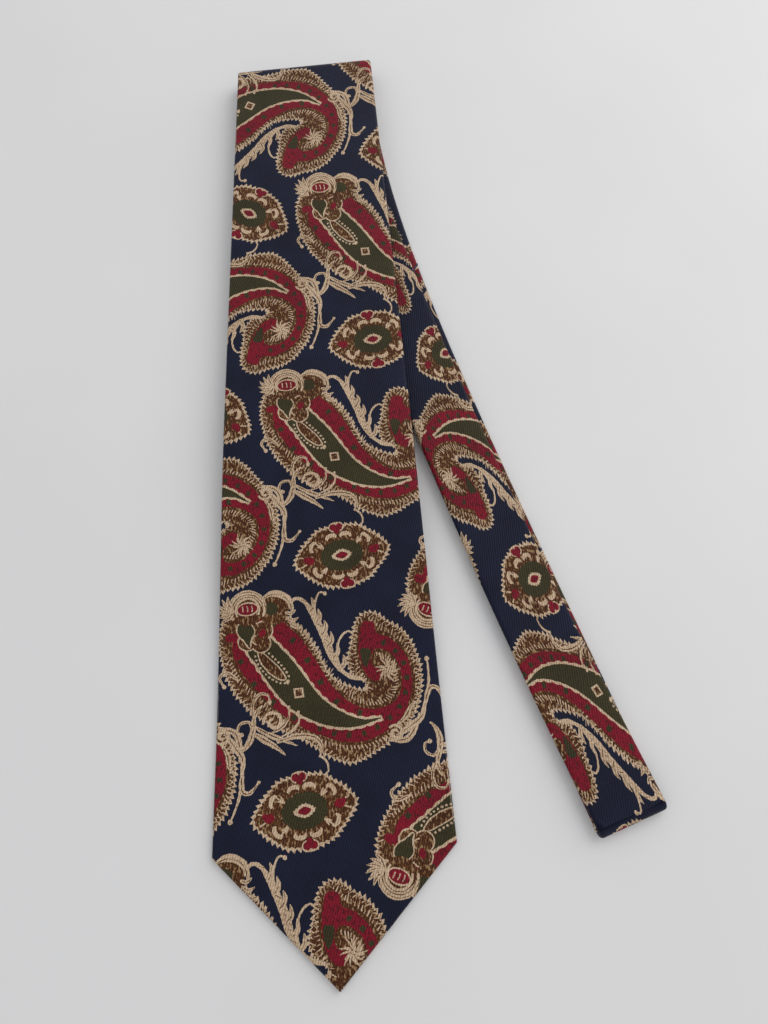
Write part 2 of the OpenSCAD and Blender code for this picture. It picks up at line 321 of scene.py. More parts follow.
def draw_plume(g):
    """Plume, tendril and C-scroll above the hollow of the body."""
    g.scroll([(11, 109.3), (5.5, 112.5), (1.8, 118.5), (-0.5, 126), (-4.5, 134.5), (-8.3, 141),
              (-12.3, 142.8), (-14.9, 139.6)], 0.9, 2.2, 3.9, 3.2, 1.9, 1.2, vein=False, knob=1.0)
    barbs = smooth([(5.5, 112.8), (1.8, 118.8), (-0.5, 126), (-4.5, 134.2), (-8.3, 140.4)])
    g.add(BROWN, *dashes(barbs, 1, -1.3, 2.3, 0.35, 2.3, lean=1.3))
    for share in range(6):
        root = mix(np.array([4.6, 113.5]), np.array([-6.0, 137.5]), share / 5)
        g.leaf(root + (-0.6, -1.0), root + (2.0 - 0.3 * share, 5.4), 2.1, -0.22)
    g.scroll([(-4.0, 134.5), (-4.3, 140), (-2.2, 144.6), (0.2, 144.2)], 1.4, 1.0, 0.7, vein=False, knob=0.8)
    g.scroll([(14, 108.6), (8.6, 109.9), (4.9, 114), (4.0, 120), (5.6, 125.6), (9.0, 128.2), (11.2, 126.4)],
             1.6, 1.3, 1.0, 0.9, vein=False, knob=0.8)


def draw_border(g):
    """The outline with its saw teeth, and the strokes inside it."""
    edge = smooth([(-43, 120), (-40.5, 111), (-35.5, 103), (-29, 96.5), (-20, 91), (-9, 85.5), (-1.5, 80),
                   (8, 76.6), (17, 80), (26, 85.5), (32.8, 92), (36.8, 101), (37.8, 110), (36.2, 118.5),
                   (32.3, 126.3), (25.5, 131.6), (18.5, 135.8), (12.8, 133.3), (10.5, 127.5), (9.2, 121.5),
                   (7.8, 116), (9.4, 110.8), (13.6, 108.3), (15.2, 104.6), (11.2, 105.4), (6.0, 107.6),
                   (1.0, 111.2), (-2.2, 118), (-6, 126), (-11, 131.8), (-17, 137), (-24, 141.5), (-34, 142),
                   (-41.5, 136), (-44, 128)], True)
    g.add(SAND, teeth(edge, 2.1, 0.8))
    g.add(BROWN, teeth(grown(edge, -0.8), 1.25, 0.4))
    g.add(SAND, *dashes(grown(edge, -0.9), 1, 0.0, 1.7, 0.5, 1.9, lean=0.5))


def draw_body(g):
    """The crimson body, open at the middle of the curl, with its fringes and olive squares."""
    body = smooth([(15.4, 131.6), (19.6, 131.0), (20.6, 126.6), (26, 124.2), (31.6, 117.6), (33.6, 110),
                   (33.0, 102), (30, 95), (25.3, 90), (19, 86.4), (12, 84.6), (4, 85.2), (-5, 88.5),
                   (-12, 92), (-20, 98), (-27, 105), (-33, 112), (-38, 121.5), (-37, 130), (-29, 137),
                   (-21, 136.8), (-16, 132), (-11, 127), (-7, 121), (-2.4, 113.3), (1, 107.3), (5, 102.8),
                   (9, 99.4), (14, 97.2), (20, 96.9), (25.5, 98.8), (28.8, 103.2), (29.6, 109),
                   (28, 115.3), (24.4, 119.2), (20, 120.4), (17.6, 117.2), (18.4, 113.4), (21.6, 111.6),
                   (21.6, 108.6), (19.2, 107.5), (16.2, 109.4), (13.9, 113.8), (13.0, 119), (13.2, 124.5),
                   (14.2, 129.3)], True)
    outer = smooth([(-39.6, 121), (-34, 111), (-27, 104), (-20, 97), (-12, 91), (-5, 87.5), (4, 84.2),
                    (12, 83.6), (19, 85.4), (26, 89.4), (31, 94.6), (34.1, 102), (34.7, 110),
                    (32.5, 118.2), (26.6, 125.2), (21.6, 128.2), (17.4, 132.4)])
    g.add(SAND, *dashes(outer, -1, 0.25, 2.3, 0.5, 1.4))
    inner = smooth([(-19.5, 136.8), (-15, 132.4), (-10, 127.2), (-6, 121), (-1.4, 113.6), (1.9, 108.3),
                    (5.6, 103.8), (9.4, 100.5), (14, 98.3), (19.6, 98), (24.6, 99.7), (27.8, 103.6),
                    (28.5, 109), (27, 114.8), (23.8, 118.2), (20, 119.3)])
    g.add(SAND, *dashes(inner, 1, 0.35, 2.5, 0.52, 1.35, lean=-0.35))
    lobe = smooth([(12.6, 129.3), (11.9, 124.4), (11.8, 119), (12.6, 113.6), (15.4, 108.4)])
    g.add(SAND, *dashes(lobe, -1, -0.2, 1.9, 0.45, 1.4, lean=0.2))
    g.add(CRIMSON, body)
    g.add(OLIVE, smooth([(13.6, 120.6), (17.6, 120.2), (17.2, 116.6), (15.6, 113.2), (13.9, 115.2)], True))
    squares(g, [(-21, 133), (-14.4, 126.6), (-10, 120.6), (-5.2, 112.4), (-1.5, 105.4), (4, 99.6),
                (12, 95.6)], 7.4, 2.0)
    squares(g, [(-35, 118.5), (-29.5, 108.8), (-22, 101.5), (-14, 95.4)], 6.5, 2.1)
    squares(g, [(-4, 90.4), (4, 87.6), (12, 87.4), (19.5, 90), (26, 94.8), (30.4, 101.5), (31.6, 110),
                (29, 117.6), (23, 122.5)], 5.2, 1.7)


def draw_star(g):
    """The starburst in the middle of the curl."""
    heart = np.array([24.0, 111.6])
    for k in range(16):
        way = turned(k * 360 / 16 + 8)
        side = turned(k * 360 / 16 + 98)
        reach = 4.2 + 0.9 * math.sin(k * 2.2)
        line = smooth([heart + way * 0.8, heart + way * reach * 0.6 + side * 0.5,
                       heart + way * reach + side * 1.8])
        g.add(SAND, ribbon(line, 0.35, 0.75, 0.25))
    g.add(SAND, disc(heart, 1.2, n=12))
    g.add(BROWN, *[disc(heart + turned(k * 90 + 20) * 0.8, 0.3, n=6) for k in range(4)])


def draw_core(g):
    """The olive core with its wavy outline, an almond with beads, and two diamonds."""
    core = smooth([(-27, 131), (-22, 126.6), (-15.6, 119.6), (-11.2, 113.8), (-7.6, 108.3), (-3, 102.5),
                   (2, 98.2), (8, 94.8), (14, 92.9), (20.6, 93.2), (14, 91), (8, 90.2), (1, 91), (-5, 93),
                   (-11, 96), (-16.4, 100), (-21, 105.3), (-25.2, 111.4), (-29, 117.4), (-32, 123)], True)
    g.add(SAND, scalloped(core, 0.65, 0.55, 4.2))
    g.add(OLIVE, core)
    nut = smooth([(-27.4, 122), (-23.6, 119), (-19.4, 114.6), (-17.2, 110.6), (-20.6, 111.4), (-24.4, 114.6),
                  (-27.0, 118.4)], True)
    g.edged(BROWN, nut, 0.55)
    beads, _ = along(grown(nut, 1.55), 1.75, True)
    g.add(SAND, *[disc(b, 0.5, n=8) for b in beads if b[1] < 121.5])
    g.add(SAND, disc((-16.3, 109.3), 1.0, n=4, turn=12))
    g.add(SAND, disc((-12, 104.8), 2.7, 2.9, 50, 4))
    g.add(BROWN, disc((-12, 104.8), 1.7, 1.8, 50, 4))


def draw_knot(g):
    """The lobed knot with a teardrop, where the head meets the body."""
    lobes = [(-32.2, 126.5), (-26.6, 125.4), (-25.6, 130.6), (-31.4, 131.4)]
    g.add(SAND, *[disc(c, 4.1, n=20) for c in lobes])
    g.add(BROWN, *[disc(c, 3.55, n=20) for c in lobes])
    g.add(CRIMSON, disc((-26, 129.5), 1.9, 1.2, 60), disc((-39.2, 128.4), 2.2, 1.7, 20))
    drop = smooth([(-35.6, 133.4), (-31.8, 133.8), (-29.4, 130.6), (-30.8, 127), (-31.4, 123.9),
                   (-33.2, 126.6), (-36, 129.8)], True)
    g.edged(OLIVE, drop, 0.55)
    g.scroll([(-28.6, 124.9), (-30.4, 126.6), (-29.4, 128.4)], 0.7, 0.4, vein=False)


def draw_head(g):
    """A barred cell under a double arch, a second arch, and leaflets."""
    g.add(OLIVE, disc((-21.6, 138.4), 3.2, 2.6, -20))
    g.add(BROWN, disc((-21.4, 138.6), 6.4), disc((-32, 139.2), 6.6))
    g.add(OLIVE, disc((-22.4, 139.2), 3.2, 2.6, -20))
    g.add(SAND, ribbon(curl((-20.8, 138.2), 7.2, -8, 0.4, 0.0), 0.9, 2.8, 2.8, 1.2))
    g.add(BROWN, ribbon(curl((-20.8, 138.2), 6.9, 0, 0.36, 0.0), 0.3))
    g.add(SAND, *[ribbon(curl((-32, 139.2), r, -25, 0.66, 0.0), 0.8, wide, wide, wide, 0.8)
                  for r, wide in ((7.0, 2.6), (4.9, 1.0))])
    g.add(BROWN, *[ribbon(curl((-32, 139.2), r, -10, 0.56, 0.0), 0.3) for r in (6.5, 7.6)])
    g.edged(CRIMSON, disc((-32, 139.6), 4.1, 2.3, 4, 22), 0.6)
    for k in (-1, 0, 1):
        foot = np.array([-32 + k * 1.9, 138.4])
        g.add(SAND, ribbon(np.array([foot, foot + (0.1, 1.2), foot + (-0.2, 2.5)]), 0.45, 0.4, 0.5))
    for k in range(6):
        way = turned(112 + k * 21)
        root = np.array([-37.5, 139.0])
        g.leaf(root, root + way * (7.6 - 0.3 * abs(k - 2)), 1.9, 0.12)
    for k in range(3):
        g.leaf((-16.5 + 0.9 * k, 137.5 - 2.2 * k), (-12.2 + 1.2 * k, 138.2 - 3.2 * k), 1.7, -0.25)


def draw_acanthus(g):
    """Acanthus scrolls under the head, on the left, and at the foot of the curl, on the right."""
    g.scroll([(-36, 111), (-40.5, 114.6), (-43.6, 112.6), (-41.8, 109)], 1.2, 1.6, 0.9, knob=0.9)
    g.scroll([(-26.5, 100.8), (-29.6, 97.4), (-30.2, 92.4), (-31.6, 87.4), (-34.4, 84.2), (-37, 83)],
             0.8, 2.0, 3.0, 0.4)
    g.scroll([(-30, 91.5), (-32, 94.6), (-35.2, 94.2), (-36.4, 91.4), (-34.8, 90)], 1.6, 1.4, 0.9, knob=0.9)
    g.scroll([(-30, 96), (-30.4, 101.4), (-27.8, 105), (-24.4, 104.8), (-23.6, 101.8)],
             1.0, 1.5, 0.9, knob=0.9)
    g.scroll([(-30.5, 90.4), (-26, 87.6), (-22, 85), (-17.6, 81.4)], 1.3, 3.0, 2.2, 0.3)
    g.scroll([(-29.5, 92.6), (-24.4, 89.6), (-19, 87.2), (-13, 84.6)], 1.2, 2.6, 0.3)
    g.add(SAND, ribbon(curl((-22.2, 94.2), 4.3, 190, -1.25), 0.9, 1.5, 0.8))
    g.scroll([(-24.5, 89.8), (-19.4, 91.6), (-16.2, 95.4), (-16, 99.6)], 0.6, 1.6, 0.5, knob=0.6)
    g.scroll([(-19, 88.4), (-14.6, 90.6), (-12.2, 93.8), (-12.3, 97.4)], 0.6, 1.3, 0.4, knob=0.6)
    g.scroll([(-21, 86.4), (-13.4, 88.2), (-6.4, 87.4), (-3.4, 83.6), (-4.6, 79.8)], 1.0, 2.6, 2.2, 0.5)
    g.scroll([(-4.4, 80.4), (-1.7, 78), (-1.3, 74.6), (-3.2, 72.8)], 1.1, 1.0, 0.6, vein=False, knob=0.6)
    g.add(SAND, ribbon(curl((25.7, 87), 3.2, 140, -1.3), 0.9, 1.5, 0.8))
    g.scroll([(25, 84), (30.2, 84.6), (33.8, 89), (35.6, 94.4)], 1.2, 3.0, 2.2, 0.6)
    g.scroll([(27.4, 86.4), (32, 89.4), (36.4, 92.6), (38.2, 97.4)], 1.0, 3.6, 2.6, 0.8)
    g.scroll([(26.5, 90.2), (30.2, 93), (32.6, 97), (35.4, 99)], 0.8, 2.4, 0.5)
    g.scroll([(36.6, 93.6), (39.2, 101), (40.4, 108), (40.2, 115.2)], 1.8, 1.3, 0.7, vein=False, knob=1.0)
    g.scroll([(38.2, 97.6), (40.4, 103.4), (43.6, 103.2), (45.4, 98.6)], 1.4, 2.6, 1.8, 0.4, knob=0.7)


def paisley():
    """A generic paisley: a curling crimson body round an olive core, with a toothed border and scrolls."""
    g = Drawing()
    parts = (draw_plume, draw_border, draw_body, draw_star, draw_core, draw_knot, draw_head, draw_acanthus)
    for draw in parts:
        draw(g)
    return g.shapes


def medallion():
    """A generic eight-lobed medallion, about its own centre, tilted as in the print."""
    g = Drawing()
    quarter = [(20.6, 0), (17.4, 5.0), (13.2, 9.0), (9.0, 12.2), (3.4, 13.4)]
    ring = quarter + [(-x, y) for x, y in quarter[::-1][:-1]] + [(-20.4, 0)]
    ring += [(x, -y) for x, y in ring[1:-1][::-1]]
    edge = smooth(ring, True, 0.8)
    g.add(SAND, teeth(edge, 2.2, 0.75))
    g.add(BROWN, teeth(grown(edge, -1.1), 2.2, 0.4))
    for x, y in ((-0.2, 12.4), (0.2, -12.4)):
        g.add(SAND, disc((x, y), 3.4, 2.3))
        petals = [(x - 1.3, y), (x + 1.3, y), (x, y - math.copysign(1.3, y))]
        g.add(CRIMSON, *[disc(petal, 1.5) for petal in petals])
    for s in (-1, 1):
        bracket = smooth([(s * 17.6, 2.2), (s * 14.6, 0.8), (s * 14.6, -0.8), (s * 17.6, -2.2)])
        g.add(SAND, ribbon(bracket, 0.6))
        g.add(CRIMSON, disc((s * 13.6, 0), 2.1, 1.7), disc((s * 15.2, 0.9), 1.0))
        for x, y, turn in ((3.1, 8.3, 80), (11.2, 5.6, 30), (11.2, -5.6, -30), (3.1, -8.3, -80)):
            at = np.array([s * x, y])
            way = turned(turn) * (s, 1)
            g.add(SAND, disc(at, 2.6, 1.7, turn * s + 90, 14))
            g.add(BROWN, disc(at - way * 1.2, 1.9, 1.2, turn * s + 90, 12))
        for y in (-1, 1):
            root = np.array([s * 7.0, y * 4.2])
            for tip in ((2.6, 1.1), (1.3, 2.6), (3.0, 2.6)):
                g.add(SAND, ribbon(np.array([root, root + np.array([s * tip[0], y * tip[1]]) * 0.5,
                                             root + (s * tip[0], y * tip[1])]), 0.5, 0.8, 0.4))
    g.add(OLIVE, scalloped(disc((0, 0), 8.6, 6.4, 0, 40), 0.0, 0.5, 4.0))
    g.add(SAND, teeth(smooth([(4.3, 0), (0, 2.5), (-4.3, 0), (0, -2.5)], True), 1.4, 0.25))
    g.add(CRIMSON, smooth([(2.7, 0), (0, 1.5), (-2.7, 0), (0, -1.5)], True))
    c, s = turned(8)
    turn = np.array([[c, s], [-s, c]])
    return moved(g.shapes, lambda shape: shape @ turn)


# the print repeats on a lattice that leans to the right; every other column is turned over
LATTICE_TURN = 10.7
COLUMN, ROW = 141.0, 101.0
MIRROR_U, MIRROR_V = -67.3, 271.8
MEDALLION_AT = np.array([-10.8, 60.7])
TO_UV = np.array([turned(-LATTICE_TURN), turned(90 - LATTICE_TURN)]).T
REACH_UP = (80, 450)            # a motif reaches at most this far across and up from its lattice place
REACH_BACK = 80                 # and this far the other way


def moved(shapes, change):
    return [(colour, change(shape)) for colour, shape in shapes]


def meets(shape, low, high):
    return (shape.max(0) > low).all() and (shape.min(0) < high).all()


def whole_print(low, high):
    """Every printed shape that reaches into a box of the print."""
    motifs = paisley() + moved(medallion(), lambda shape: shape + MEDALLION_AT)
    u_v = moved(motifs, lambda shape: shape @ TO_UV)
    corners = np.array([(x, y) for x in (low[0], high[0]) for y in (low[1], high[1])]) @ TO_UV
    first = (corners.min(0) - REACH_UP) / (COLUMN, ROW)
    last = (corners.max(0) + REACH_BACK) / (COLUMN, ROW)
    out = []
    for col in range(math.floor(first[0]), math.ceil(last[0]) + 1):
        for turned_over in (False, True):
            for row in range(math.floor(first[1]), math.ceil(last[1]) + 1):
                for colour, shape in u_v:
                    s = shape * (1, -1) + (MIRROR_U, MIRROR_V) if turned_over else shape
                    s = (s + (col * COLUMN, row * ROW)) @ TO_UV.T
                    if meets(s, low, high):
                        out.append((colour, s))
    return out


# ---- cutting flat cloth along the print ----
def inside(points, polygon):
    """Which points lie in a polygon, by the even-odd rule."""
    x, y = points[:, 0][:, None], points[:, 1][:, None]
    a, b = polygon, np.roll(polygon, -1, 0)
    crosses = (a[:, 1] > y) != (b[:, 1] > y)
    rise = np.where(np.abs(b[:, 1] - a[:, 1]) < 1e-12, 1e-12, b[:, 1] - a[:, 1])
    return (crosses & (x < a[:, 0] + (y - a[:, 1]) * (b[:, 0] - a[:, 0]) / rise)).sum(1) % 2 == 1


SAME_PLACE = 0.004      # millimetres under which a point lies on the outline
THIN = 0.004            # double area in square millimetres of a triangle that is only a sliver


def double_area(flat, tris):
    a, b, c = (flat[tris[:, k]] for k in range(3))
    ab, ac = b - a, c - a
    return np.abs(ab[:, 0] * ac[:, 1] - ab[:, 1] * ac[:, 0])


def cut(domain, lines, shapes, grid):
    """Triangles of the flat domain, split along the lines and the printed shapes, and each one's colour."""
    low, high = domain.min(0), domain.max(0)
    shapes = [(colour, shape) for colour, shape in shapes if meets(shape, low, high)]
    points, edges = [], []

    def put(line, closed):
        first = len(points)
        points.extend(map(tuple, line))
        n = len(line)
        edges.extend((first + i, first + (i + 1) % n) for i in range(n if closed else n - 1))

    put(domain, True)
    for line in lines:
        put(line, False)
    for _, shape in shapes:
        put(shape, True)
    gx = np.arange(low[0] + grid / 2, high[0], grid)
    gy = np.arange(low[1] + grid / 2, high[1], grid)
    mesh = np.stack(np.meshgrid(gx, gy), -1).reshape(-1, 2)
    points.extend(map(tuple, mesh[inside(mesh, domain)]))
    out = delaunay_2d_cdt([Vector(p) for p in points], edges, [], 0, 1e-4, False)
    flat = np.array([(v.x, v.y) for v in out[0]])
    tris = np.array([f for f in out[2] if len(f) == 3])
    middles = flat[tris].mean(1)
    keep = inside(middles, domain)
    # no triangle lies along the outline itself
    thin = np.nonzero(double_area(flat, tris) < THIN)[0]
    rim = edge_distance(flat[tris[thin]].reshape(-1, 2), [looped(domain)]).reshape(-1, 3)
    keep[thin[(rim < SAME_PLACE).all(1)]] = False
    tris, middles = tris[keep], middles[keep]
    colours = np.full(len(tris), NAVY)
    for colour, shape in shapes:
        near = np.nonzero(((middles >= shape.min(0)) & (middles <= shape.max(0))).all(1))[0]
        if len(near):
            colours[near[inside(middles[near], shape)]] = colour
    used, back = np.unique(tris, return_inverse=True)
    return flat[used], back.reshape(-1, 3), colours


def edge_distance(points, lines):
    """Distance from each point to the nearest of the lines."""
    best = np.full(len(points), 1e9)
    for line in lines:
        a, b = line[:-1], line[1:]
        ab = b - a
        for start, way in zip(a, ab):
            length = float(way @ way)
            if length < 1e-12:
                continue
            t = np.clip(((points - start) @ way) / length, 0, 1)
            gap = points - start - t[:, None] * way
            best = np.minimum(best, np.einsum("ij,ij->i", gap, gap))
    return np.sqrt(best)


def rolled(distance, r=EDGE_R):
    """Share of a run's half thickness at a distance in from its half-round edge."""
    distance = np.where(distance < SAME_PLACE, 0, distance)
    return np.sqrt(np.maximum(0, 1 - (1 - np.minimum(distance, r) / r) ** 2))


EDGE_STEPS = [EDGE_R * (1 - math.cos(math.radians(a))) for a in (20, 42, 65, 90)]


class Cloth:
    """Gathers the faces of one piece of cloth, then welds them into one mesh."""

    def __init__(self):
        self.co, self.tri, self.colour, self.grain, self.bake = [], [], [], [], []
        self.flat_area = 0.0
        self.count = 0

    def lay(self, flat, tris, colours, place, grain, bake, flip=False):
        co = place(flat)
        tris = tris[:, ::-1] if flip else tris
        self.co.append(co)
        self.tri.append(tris + self.count)
        self.colour.append(colours)
        self.grain.append(grain(flat)[tris])
        self.bake.append(bake(flat, tris))
        self.flat_area += float(double_area(flat, tris).sum() / 2)
        self.count += len(co)

    def turn_in(self, is_free, flat, tris, place, depth):
        """A narrow turned-in edge of cloth along the free edges of a flap, up by depth."""
        edges = np.sort(np.concatenate([tris[:, [0, 1]], tris[:, [1, 2]], tris[:, [2, 0]]]), 1)
        pairs, uses = np.unique(edges, axis=0, return_counts=True)
        pairs = pairs[uses == 1]
        pairs = pairs[is_free(flat)[pairs].all(1)]
        if not len(pairs):
            return
        used, back = np.unique(pairs, return_inverse=True)
        back = back.reshape(-1, 2)
        top = place(flat[used])
        n = len(used)
        self.co.append(np.vstack([top, top + (0, 0, depth)]))
        quads = np.concatenate([np.stack([back[:, 0], back[:, 1], back[:, 1] + n], 1),
                                np.stack([back[:, 0], back[:, 1] + n, back[:, 0] + n], 1)])
        self.tri.append(quads + self.count)
        self.colour.append(np.full(len(quads), NAVY))
        both = np.vstack([flat[used], flat[used]])
        self.grain.append(both[quads])
        self.bake.append(np.full((len(quads), 3, 2), 0.001))
        self.count += 2 * n

    def mesh(self, name, materials):
        co = (np.concatenate(self.co) - ORIGIN) / 1000
        tri = np.concatenate(self.tri)
        colour = np.concatenate(self.colour)
        grain = np.concatenate(self.grain)
        bake = np.concatenate(self.bake)
        # weld points that share a place
        places = np.round(co * 1e5).astype(np.int64)
        _, first, same = np.unique(places, axis=0, return_index=True, return_inverse=True)
        co, tri = co[first], same.reshape(-1)[tri]
        ok = (tri[:, 0] != tri[:, 1]) & (tri[:, 1] != tri[:, 2]) & (tri[:, 2] != tri[:, 0])
        tri, colour, grain, bake = tri[ok], colour[ok], grain[ok], bake[ok]
        me = bpy.data.meshes.new(name)
        me.vertices.add(len(co))
        me.vertices.foreach_set("co", co.ravel().astype(np.float32))
        me.loops.add(3 * len(tri))
        me.loops.foreach_set("vertex_index", tri.ravel().astype(np.int32))
        me.polygons.add(len(tri))
        me.polygons.foreach_set("loop_start", np.arange(0, 3 * len(tri), 3, dtype=np.int32))
        me.polygons.foreach_set("loop_total", np.full(len(tri), 3, np.int32))
        for material in materials:
            me.materials.append(material)
        me.polygons.foreach_set("material_index", colour.astype(np.int32))
        me.polygons.foreach_set("use_smooth", np.ones(len(tri), bool))
        for layer, uv in (("cloth", grain / 100), ("OFBake", bake)):
            me.uv_layers.new(name=layer).data.foreach_set("uv", uv.reshape(-1, 2).ravel().astype(np.float32))
        me.update()
        me.validate()
        obj = bpy.data.objects.new(name, me)
        bpy.context.scene.collection.objects.link(obj)
        return obj


# ---- outlines of the runs, in plan ----
RUN_STEPS = np.linspace(0, 1, 61)


def run_middle(a, b, bow, t):
    """The bowed middle line of a run between two folds."""
    return mix(a, b, t[:, None]) - (bow * 4 * t * (1 - t))[:, None] * BOW_WAY


def fold_ways(t):
    """The way across a run, which turns from one fold's to the other's."""
    tilt = np.radians(mix(FOLD_TILT, NECK_TILT, t))
    return np.stack([np.cos(tilt), np.sin(tilt)], 1)


def run_lines(a, b, bow, half, inset=0.0):
    """Left and right edges of a run between two folds, moved in by inset."""
    mid = run_middle(a, b, bow, RUN_STEPS)
    way = fold_ways(RUN_STEPS) * (half(RUN_STEPS) - inset)[:, None]
    return mid - way, mid + way


def pointed_lines(a, tip, corner, half, inset=0.0):
    """Left and right edges of a run that ends in a right-angled point, from the fold to the tip."""
    length = np.linalg.norm(tip - a)
    down = (tip - a) / length
    c = tip - corner * down + inset * (1 - math.sqrt(2)) * down
    t = RUN_STEPS[:, None]
    square_on = math.degrees(math.atan2(down[0], -down[1]))
    tilt = np.radians(mix(FOLD_TILT, square_on, ease(t * 2)))
    way = np.concatenate([np.cos(tilt), np.sin(tilt)], 1) * (half(t) - inset)
    end = tip - inset * math.sqrt(2) * down
    slope = np.linspace(0, 1, 33)[1:, None]
    sides = []
    for s in (-1, 1):
        side = mix(a, c, t) + s * way
        sides.append(np.vstack([side, mix(side[-1], end, slope)]))
    return sides


def closed(left, right):
    """Outline of a run from its two edge lines, both from the fold down."""
    if np.linalg.norm(left[-1] - right[-1]) < 1e-6:
        right = right[:-1]
    return np.vstack([left, right[::-1]])


# ---- materials ----
def colour_of(r, g, b):
    """Linear colour from an 8-bit display colour."""
    return [((v / 255 + 0.055) / 1.055) ** 2.4 if v > 10 else v / 255 / 12.92 for v in (r, g, b)] + [1.0]


class Nodes:
    """Short calls for building one material's nodes."""

    def __init__(self, name):
        self.material = bpy.data.materials.new(name)
        self.material.use_nodes = True
        self.tree = self.material.node_tree
        self.shader = self.tree.nodes["Principled BSDF"]

    def new(self, kind, **settings):
        node = self.tree.nodes.new(kind)
        for key, value in settings.items():
            setattr(node, key, value)
        return node

    def link(self, out, into):
        self.tree.links.new(out, into)

    def plus(self, a, b, clamp=False):
        return self.math("ADD", a, b, clamp)

    def times(self, a, b, clamp=False):
        return self.math("MULTIPLY", a, b, clamp)

    def wave(self, along, pitch):
        return self.math("SINE", self.times(along, 2 * math.pi / pitch))

    def math(self, operation, a, b=0.0, clamp=False):
        node = self.new("ShaderNodeMath", operation=operation, use_clamp=clamp)
        for socket, value in zip(node.inputs, (a, b)):
            if isinstance(value, (int, float)):
                socket.default_value = value
            else:
                self.link(value, socket)
        return node.outputs[0]

    def noise(self, vector, scale, detail=2.0, rough=0.5):
        node = self.new("ShaderNodeTexNoise")
        node.inputs["Scale"].default_value = scale
        node.inputs["Detail"].default_value = detail
        node.inputs["Roughness"].default_value = rough
        self.link(vector, node.inputs["Vector"])
        return node.outputs["Fac"]

    def bumped(self, height, strength, distance):
        node = self.new("ShaderNodeBump")
        node.inputs["Strength"].default_value = strength
        node.inputs["Distance"].default_value = distance
        self.link(height, node.inputs["Height"])
        self.link(node.outputs[0], self.shader.inputs["Normal"])

    def mixed(self, factor, a, b):
        node = self.new("ShaderNodeMix", data_type="RGBA")
        sockets = (node.inputs[0], node.inputs[6], node.inputs[7])
        for socket, value in zip(sockets, (factor, a, b)):
            if isinstance(value, (int, float, list)):
                socket.default_value = value
            else:
                self.link(value, socket)
        return node.outputs[2]


TWILL_PITCH = 0.95      # millimetres between the steep ridges of the silk
TWILL_LEAN = 17.0       # degrees from the blade's length
THREAD_PITCH = 0.42     # millimetres between the fine threads across the ridges


def silk(name, colour, dark, light, mottled, flecks=None):
    """Printed silk twill: steep ridges, fine threads across them, and ink that takes unevenly."""
    m = Nodes(name)
    uv = m.new("ShaderNodeUVMap", uv_map="cloth").outputs[0]
    split = m.new("ShaderNodeSeparateXYZ")
    m.link(uv, split.inputs[0])
    x, y = m.times(split.outputs[0], 100.0), m.times(split.outputs[1], 100.0)
    c, s = turned(TWILL_LEAN)
    across = m.math("SUBTRACT", m.times(x, float(c)), m.times(y, float(s)))
    uneven = m.times(m.noise(uv, 45.0, 2.0), 0.5)
    ridge = m.wave(m.plus(across, uneven), TWILL_PITCH)
    thread = m.wave(m.plus(y, m.times(across, 0.6)), THREAD_PITCH)
    weave = m.plus(m.times(ridge, 0.75), m.times(thread, 0.25))
    ink = m.noise(uv, 130.0, 3.0, 0.7)
    patch = m.noise(uv, 6.0, 2.0)
    tone = m.plus(m.times(ink, mottled), m.times(weave, 0.16))
    tone = m.plus(tone, m.times(patch, 0.35))
    tone = m.math("SUBTRACT", tone, mottled / 2 + 0.175 - 0.5, True)
    ramp = m.new("ShaderNodeValToRGB")
    ends = ramp.color_ramp.elements
    ends[0].position, ends[1].position = 0.12, 0.9
    ends[0].color, ends[1].color = colour_of(*dark), colour_of(*light)
    ends.new(0.5).color = colour_of(*colour)
    m.link(tone, ramp.inputs[0])
    printed = ramp.outputs[0]
    if flecks:  # small strokes of a second ink, longer along the ridges
        stretched = m.new("ShaderNodeMapping")
        stretched.inputs["Rotation"].default_value[2] = math.radians(TWILL_LEAN)
        stretched.inputs["Scale"].default_value = (1.0, 0.45, 1.0)
        m.link(uv, stretched.inputs["Vector"])
        spots = m.noise(stretched.outputs[0], 115.0, 1.0)
        speck = m.times(m.math("SUBTRACT", spots, 0.56), 14.0, True)
        printed = m.mixed(m.times(speck, 0.75), printed, colour_of(*flecks))
    m.link(printed, m.shader.inputs["Base Color"])
    m.link(m.plus(m.times(ink, 0.16), 0.34), m.shader.inputs["Roughness"])
    m.bumped(weave, 0.5, 0.00012)
    m.shader.inputs["Specular IOR Level"].default_value = 0.1
    return m.material


def plain_cloth(name, dark, light, pitch, rough, bump_depth, sheen=0.1, satin=1.0):
    """Unprinted cloth in the object's own space: threads at pitch millimetres, with a soft mottle."""
    m = Nodes(name)
    place = m.new("ShaderNodeTexCoord").outputs["Object"]
    split = m.new("ShaderNodeSeparateXYZ")
    m.link(place, split.inputs[0])
    warp = m.wave(split.outputs[0], pitch / 1000)
    weft = m.times(m.wave(split.outputs[1], pitch / 1000), satin)
    weave = m.plus(warp, weft)
    mottle = m.noise(place, 900.0, 3.0, 0.65)
    tone = m.plus(m.times(weave, 0.12), mottle, True)
    m.link(m.mixed(tone, colour_of(*dark), colour_of(*light)), m.shader.inputs["Base Color"])
    m.link(m.plus(m.times(mottle, 0.2), rough - 0.1), m.shader.inputs["Roughness"])
    m.bumped(weave, 0.6, bump_depth)
    m.shader.inputs["Sheen Weight"].default_value = sheen
    return m.material


